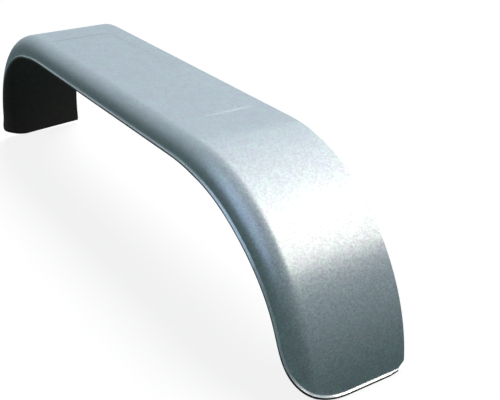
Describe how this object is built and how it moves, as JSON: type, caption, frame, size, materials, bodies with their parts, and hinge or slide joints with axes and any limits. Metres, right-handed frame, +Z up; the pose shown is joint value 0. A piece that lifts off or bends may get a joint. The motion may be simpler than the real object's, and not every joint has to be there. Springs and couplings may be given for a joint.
{
  "type": "trailer mudguard",
  "caption": "Pressed galvanised steel mudguard for a tandem-axle trailer: long flat top, quarter-circle ends, rounded outer shoulder, shallow skirt and turned-out lip.",
  "frame": {"origin": "middle of the footprint, on the level that the two ends stand on", "axes": "+X along the trailer, +Y towards the trailer's side (the skirt and lip face -Y), +Z up"},
  "size_m": [1.522, 0.2384, 0.3711],
  "materials": {
    "galvanised_sheet": "satin galvanised sheet with a fine even grain; the side that faces the wheels is near black"
  },
  "bodies": {
    "root": {"mudguard": "galvanised_sheet"}
  },
  "joints": []
}
